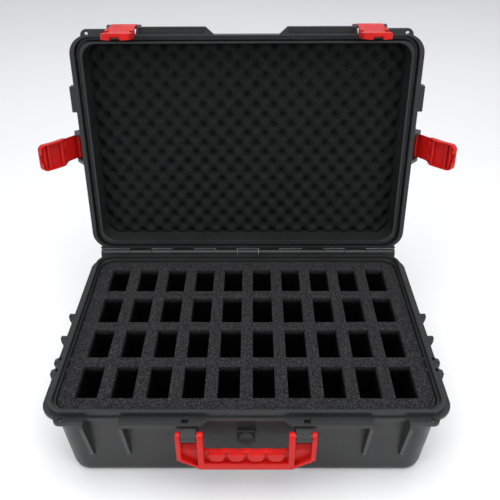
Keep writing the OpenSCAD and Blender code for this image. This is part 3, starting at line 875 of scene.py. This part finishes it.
# ---- Handle
def handle_mesh():
    """The folding handle: a flat frame, its arms, thin webs in the corners, and the grip."""
    y0, y1 = PIVOT.y - ARM_R, PIVOT.y + ARM_R
    low = HANDLE_LOW
    inner_out = LUG_IN - ARM_GAP
    outer_in = LUG_OUT + ARM_GAP
    arms_z = PIVOT.z - 27

    def slant(x):
        """Height of the inner edge of the slanted corner."""
        return low + 5 + (x - CORNER_X) * 21 / 31

    frame_outline = [(-HANDLE_HX, arms_z), (-HANDLE_HX, low + CORNER_RISE), (-CORNER_X, low),
                     (CORNER_X, low), (HANDLE_HX, low + CORNER_RISE), (HANDLE_HX, arms_z),
                     (outer_in, arms_z),
                     (outer_in, slant(outer_in)), (inner_out, slant(inner_out)), (inner_out, arms_z),
                     (GRIP_HX, arms_z), (GRIP_HX, low + RAIL_H), (-GRIP_HX, low + RAIL_H),
                     (-GRIP_HX, arms_z), (-inner_out, arms_z), (-inner_out, slant(inner_out)),
                     (-outer_in, slant(outer_in)), (-outer_in, arms_z)]
    body = prism(frame_outline, y0, y1, "y", 1.3, 3)

    def arm(x0, x1):
        top = arc((PIVOT.y, PIVOT.z), ARM_R - 0.02, 0, 180, 12)
        outline = [*top, (y0 + 0.02, arms_z - 16), (y1 - 0.02, arms_z - 16)]
        return prism(outline, x0 + 0.02, x1 - 0.02, "x", 1.2, 3)

    arms = both_sides(lambda: join(arm(GRIP_HX, inner_out), arm(outer_in, HANDLE_HX)))
    web_outline = [(PIVOT.y + 0.5, low + 5), (PIVOT.y + 0.5, 95), (PIVOT.y + 4.5, 103),
                   (y1 - 0.3, 103), (y1 - 0.3, low + 5)]
    webs = both_sides(lambda: prism(web_outline, inner_out - 2, outer_in + 2, "x", 0.5))

    # Grip: a web behind, with a wavy top that is lowest over each lobe, and the lobes in front of it
    def wave(x):
        shift = LOBE_PITCH / 2 * (LOBES % 2)
        return GRIP_TOP - WAVE_H + WAVE_H * math.cos(2 * math.pi * (x + shift) / LOBE_PITCH)

    xs = [-GRIP_HX - 1 + i * (2 * GRIP_HX + 2) / 60 for i in range(61)]
    crest = [(x, wave(x)) for x in reversed(xs)]
    web = prism([(-GRIP_HX - 1, low + 6), (GRIP_HX + 1, low + 6), *crest], PIVOT.y - 0.2, y1 - 0.2,
                "y", 1.2, 3)
    lobes = []
    foot = low + RAIL_H + 4.5
    crown = GRIP_TOP - 0.8
    for i in range(LOBES):
        at = (i - (LOBES - 1) / 2) * LOBE_PITCH
        left = at - LOBE_W / 2
        right = at + LOBE_W / 2
        outline = soften([(left - 1.6, crown), (left + 2.5, foot), (right - 2.5, foot),
                          (right + 1.6, crown)], [2, 6, 6, 2], 5)
        lobes.append(prism(outline, y0 + 1.2, PIVOT.y + 1, "y", 2.0, 4))
    return join(body, arms, webs, web, *lobes)


# ---- Latches
def lever_section(half, out, thick, wall_to):
    """Loop across a lever: a plate at out, with a wall at each side reaching in to wall_to."""
    floor = out - thick
    corners = [(-half, wall_to), (-half, out), (half, out), (half, wall_to), (half - WALL_W, wall_to),
               (half - WALL_W, floor), (WALL_W - half, floor), (WALL_W - half, wall_to)]
    return soften(corners, [0.9, 1.3, 1.3, 0.9, 0.7, 0.8, 0.8, 0.7], 3)


def lever_mesh():
    """A lever about its pin: flat root, wider grip with a raised rim, ridges and hook bosses."""
    spine = soften([(2, 2.6), (-4, 3.6), (-13, 3.2), (-30, 0.8), (-46, -1.6), (-62, -1.2),
                    (-LEVER_L, 1.0)],
                   [2, 4, 6, 9, 7, 6, 1], 6, closed=False)
    heights = np.array([p[0] for p in spine][::-1])
    outs = np.array([p[1] for p in spine][::-1])

    def ease(value, start, end):
        """Goes softly from 0 at start to 1 at end."""
        t = min(1.0, max(0.0, (value - start) / (end - start)))
        return t * t * (3 - 2 * t)

    def narrowing(left, radius):
        """How much a rounded tip takes off the half width, left millimetres before the end."""
        return radius - math.sqrt(max(0.0, radius**2 - max(0.0, radius - left) ** 2))

    rings = []
    stations = [*np.arange(0, LEVER_L - 9, 2.0), *np.linspace(LEVER_L - 9, LEVER_L - WALL_W, 7)]
    for down in stations:
        out = float(np.interp(-down, heights, outs))
        widening = ease(down, 26, 34)
        half = NEAR_HW + (LEVER_HW - NEAR_HW) * widening - narrowing(LEVER_L - down, TIP_R)
        wall = 2.9 + 6.2 * ease(down, 27, 42) - 0.1 * ease(down, 42, 72)
        rings.append([(u, w, -down) for w, u in lever_section(half, out, LEVER_T, out - wall)])
    # The end wall, closed across between the side walls
    for left in (WALL_W, 1.4, 0.5, 0.0):
        out = float(np.interp(left - LEVER_L, heights, outs)) - (0.5 if left == 0 else 0)
        half = LEVER_HW - narrowing(left, TIP_R) - (0.5 if left == 0 else 0)
        rings.append([(u, w, left - LEVER_L)
                      for w, u in lever_section(half, out, 8.9, out - 9.1)])
    shell = loft(rings)
    tip_out = float(outs[0])
    notch = block((tip_out - 9.6, -NOTCH_HW, -LEVER_L - 1),
                  (tip_out - 4.3, NOTCH_HW, -LEVER_L + WALL_W + 0.5), 0)
    shell = carved(shell, notch)
    barrel = disc((0, 0), BARREL_R, -NEAR_HW, NEAR_HW, "y", 0.7)
    ridges = [disc((float(np.interp(v - LEVER_L, heights, outs)) - 4.4, v - LEVER_L), 2.6,
                   -LEVER_HW + 2, LEVER_HW - 2, "y", 0.5, 16) for v in (8, 16)]
    # Forked bosses that carry the hook's pin
    bosses = []
    for s in (-1, 1):
        at = s * FORK_W
        fork = soften([(1.6, -33), (-4.3, -37.6), (-6.6, -41.5), (-4.3, -44.6), (0.4, -50)],
                      [0.5, 3, 3, 3, 0.5], 3)
        bosses.append(prism(fork, at - 2.2, at + 2.2, "y", 0.6))
        bosses.append(disc((-5.3, -41), 3.4, at - 2.2, at + 2.2, "y", 0.6, 20))
    return join(shell, barrel, *ridges, *bosses)


def hook_mesh():
    """A hook about its pin, as it stands under the catch: a thin bar with a claw at each side."""
    bar = disc((0, 0), BAR_R, -CLAW_OUT, CLAW_OUT, "y", 0.6, 20)
    claws = []
    outline = soften([(-7.6, 9.5), (-3, 9.5), (2.2, 2), (2.2, -1.3), (-2.2, -1.6), (-3, 2.5),
                      (-7.6, 7.2)], 0.6, 2)
    for s in (-1, 1):
        low, high = sorted((s * CLAW_IN, s * CLAW_OUT))
        claws.append(prism(outline, low, high, "y", 0.5))
    return join(bar, *claws)


# ---- Vent
def vent():
    """Round vent cap with a coin slot and a knurled edge."""
    low, high = cad_mm("vent_cap")
    centre = ((low.x + high.x) / 2, (low.z + high.z) / 2)
    radius = (high.x - low.x) / 2
    teeth = 36
    tooth_deep = 0.5
    cap_t = 3.4
    outline = []
    for i in range(2 * teeth):
        r = radius - (tooth_deep if i % 2 else 0)
        a = math.pi * i / teeth
        outline.append((centre[0] + r * math.cos(a), centre[1] + r * math.sin(a)))
    cap = prism(outline, low.y, low.y + cap_t, "y", 0.3)
    slot = block((centre[0] - 7, low.y - 1, centre[1] - 1.2),
                 (centre[0] + 7, low.y + 1, centre[1] + 1.2), 0)
    return carved(cap, slot)


# ---- Making the pieces
piece("tub_skin", tub(), "base", SHELL, ["base_shell"])
piece("lid_skin", lid(), "lid", SHELL, ["lid_shell"], OPENED)
piece("seal_skin", seal(), "lid", RUBBER, ["lid_seal"], OPENED)
piece("vent_cap_skin", vent(), "base", VENT_PAINTED_LIGHT, ["vent_cap"])
piece("handle_skin", handle_mesh(), "handle", RED, ["handle"])

soft = [
    piece("tray_skin", tray(), "base", TRAY_FOAM, ["foam_tray"], sharp=40, weighted=False),
    # The pad and riser lie wholly below the tray's top, so the tray foam material gives them its full
    # painted shade
    piece("pad_skin", foam_slab("foam_pad"), "base", TRAY_FOAM, ["foam_pad"]),
    piece("riser_skin", foam_slab("foam_riser"), "base", TRAY_FOAM, ["foam_riser"]),
    piece("crate_skin", crate_lining(), "lid", LID_FOAM, ["lid_foam"], OPENED,
          sharp=60, weighted=False),
]

for latch in LATCHES:
    piece("lever_skin_" + latch, lever_mesh(), "lever_" + latch, RED,
          ["latch_lever_" + latch], lever_place(latch))
    piece("hook_skin_" + latch, hook_mesh(), "hook_" + latch, RED,
          ["latch_hook_" + latch], hook_place(latch))

for node, o in frame["nodes"].items():
    if o.hide_render:
        continue
    o.data.materials.clear()
    o.data.materials.append(RUBBER if node == "vent_ring" else STEEL)

# ---- Stage, light and camera
floor_mesh = bmesh.new()
bmesh.ops.create_grid(floor_mesh, x_segments=4, y_segments=4, size=6)
floor_data = bpy.data.meshes.new("floor")
floor_mesh.to_mesh(floor_data)
floor_mesh.free()
floor_data.materials.append(floor_paint("floor_paint"))
floor = bpy.data.objects.new("floor", floor_data)
bpy.context.scene.collection.objects.link(floor)


def soft_light(name, place, size, power, target=(0, 0, 0.15)):
    data = bpy.data.lights.new(name, "AREA")
    data.shape = "RECTANGLE"
    data.size, data.size_y = size
    data.energy = power
    o = bpy.data.objects.new(name, data)
    o.location = place
    o.rotation_euler = (Vector(target) - Vector(place)).to_track_quat("-Z", "Y").to_euler()
    bpy.context.scene.collection.objects.link(o)


# One large light over the case and two smaller ones in front of it
soft_light("top", (0, -0.2, 2.4), (2.6, 2.0), 52)
soft_light("front_left", (-1.9, -1.7, 1.5), (1.3, 1.3), 22)
soft_light("front_right", (1.9, -1.7, 1.5), (1.3, 1.3), 22)

world = bpy.data.worlds.new("studio")
world.use_nodes = True
world.node_tree.nodes["Background"].inputs["Color"].default_value = (0.93, 0.95, 1.0, 1)
world.node_tree.nodes["Background"].inputs["Strength"].default_value = 0.7
bpy.context.scene.world = world
bpy.context.scene.view_settings.view_transform = "Standard"

camera = bpy.data.cameras.new("camera")
camera.lens = 44.78
camera.sensor_width = 36
camera_object = bpy.data.objects.new("camera", camera)
pitch = math.radians(34.757)
yaw = 0.0066
roll = -0.00492
camera_object.matrix_world = (Matrix.Translation((0.0100, -0.7339, 0.7885))
                              @ Matrix.Rotation(yaw, 4, "Z")
                              @ Matrix.Rotation(math.pi / 2 - pitch, 4, "X")
                              @ Matrix.Rotation(roll, 4, "Z"))
bpy.context.scene.collection.objects.link(camera_object)
bpy.context.scene.camera = camera_object
